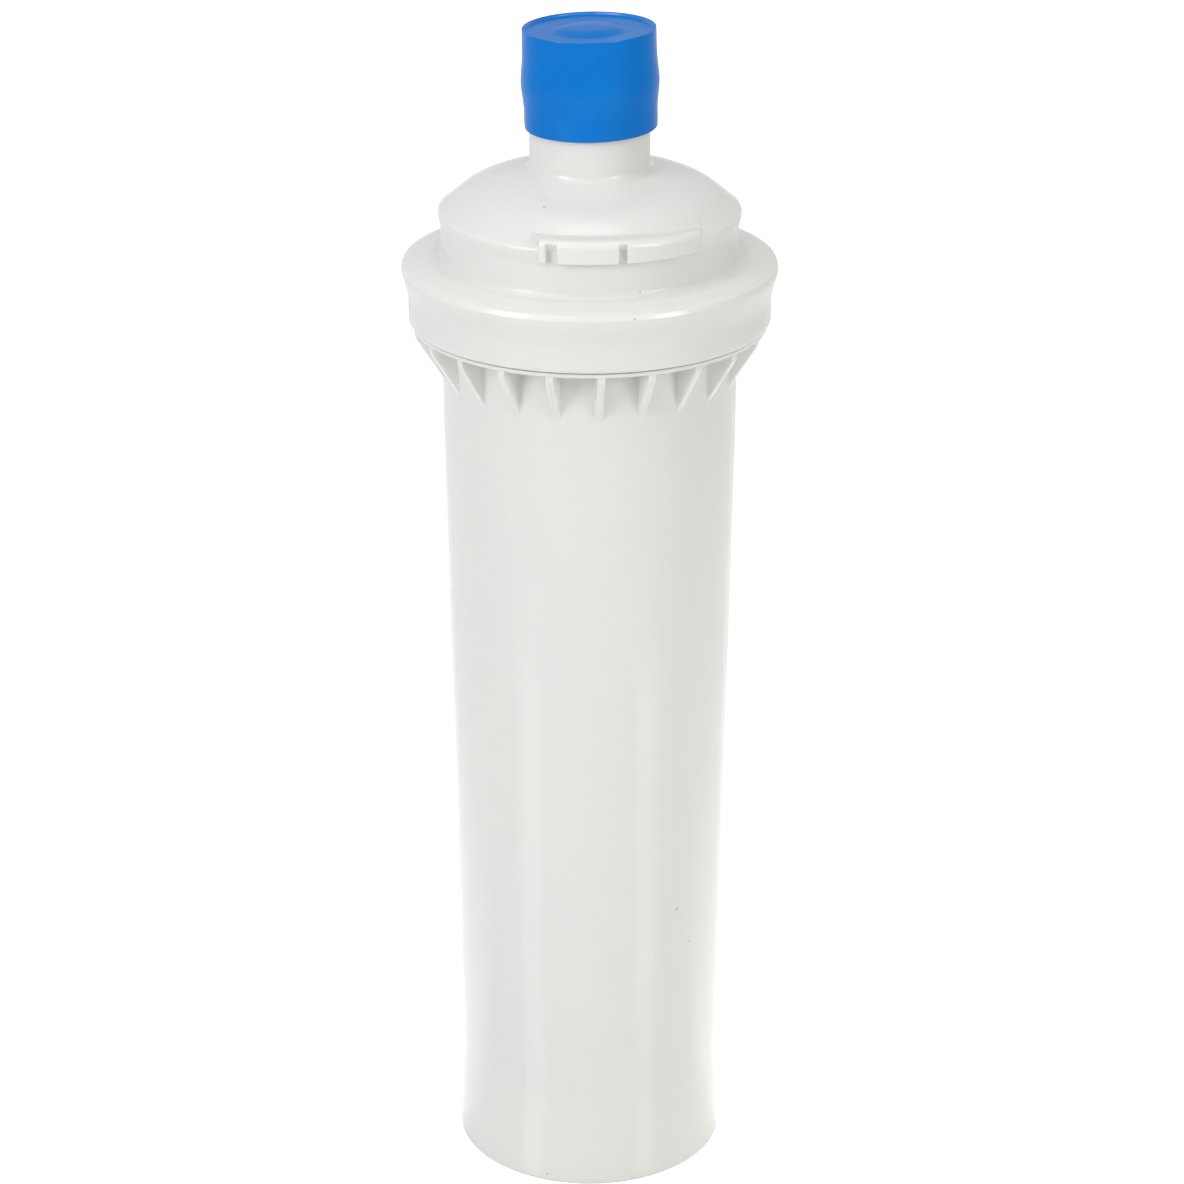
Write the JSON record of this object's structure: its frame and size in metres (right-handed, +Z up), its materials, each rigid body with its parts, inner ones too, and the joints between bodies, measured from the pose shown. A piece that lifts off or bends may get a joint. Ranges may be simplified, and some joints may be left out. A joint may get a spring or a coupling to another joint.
{
  "type": "water filter cartridge",
  "caption": "Plumbed-in water filter cartridge: long white moulded pressure vessel with a domed head, quarter-turn bayonet lugs, a ribbed collar and a blue pull-off sanitary cap over its neck.",
  "frame": {"origin": "centre of the standing rim, on the surface the cartridge stands on", "axes": "+Z up along the cartridge's axis to the neck and cap; -Y is the front, where one bayonet lug is; +X to the right"},
  "size_m": [0.1138, 0.1138, 0.37],
  "materials": {
    "white_shell": "gloss",
    "blue_cap": "satin",
    "seal_rubber": "satin",
    "natural_plastic": "satin",
    "net_plastic": "satin",
    "hot_melt": "satin",
    "carbon": "matte",
    "nonwoven": "matte",
    "spring_steel": "polished"
  },
  "bodies": {
    "cartridge": {"head_shell": "white_shell", "sump_shell": "white_shell", "neck_oring_lower": "seal_rubber", "neck_oring_upper": "seal_rubber", "spigot_oring": "seal_rubber", "outlet_tube": "natural_plastic", "check_retainer": "natural_plastic", "check_spring": "spring_steel", "top_end_cap": "natural_plastic", "bottom_end_cap": "natural_plastic", "bottom_spacer": "natural_plastic", "core_tube": "natural_plastic", "top_adhesive": "hot_melt", "bottom_adhesive": "hot_melt", "carbon_block": "carbon", "core_wrap": "nonwoven", "prefilter_wrap": "nonwoven", "netting_sleeve": "net_plastic"},
    "cap": {"sanitary_cap": "blue_cap"},
    "check_valve": {"check_disc": "natural_plastic", "check_disc_seal": "seal_rubber"}
  },
  "joints": [
    {"name": "cap_pull", "type": "slide", "parent": "cartridge", "child": "cap", "axis": [0, 0, 1], "range_m": [0, 0.06]},
    {"name": "check_lift", "type": "slide", "parent": "cartridge", "child": "check_valve", "axis": [0, 0, -1], "range_m": [0, 0.002], "stiffness_N_per_m": 60, "springref_m": -0.004, "deforming": ["check_spring"]}
  ]
}
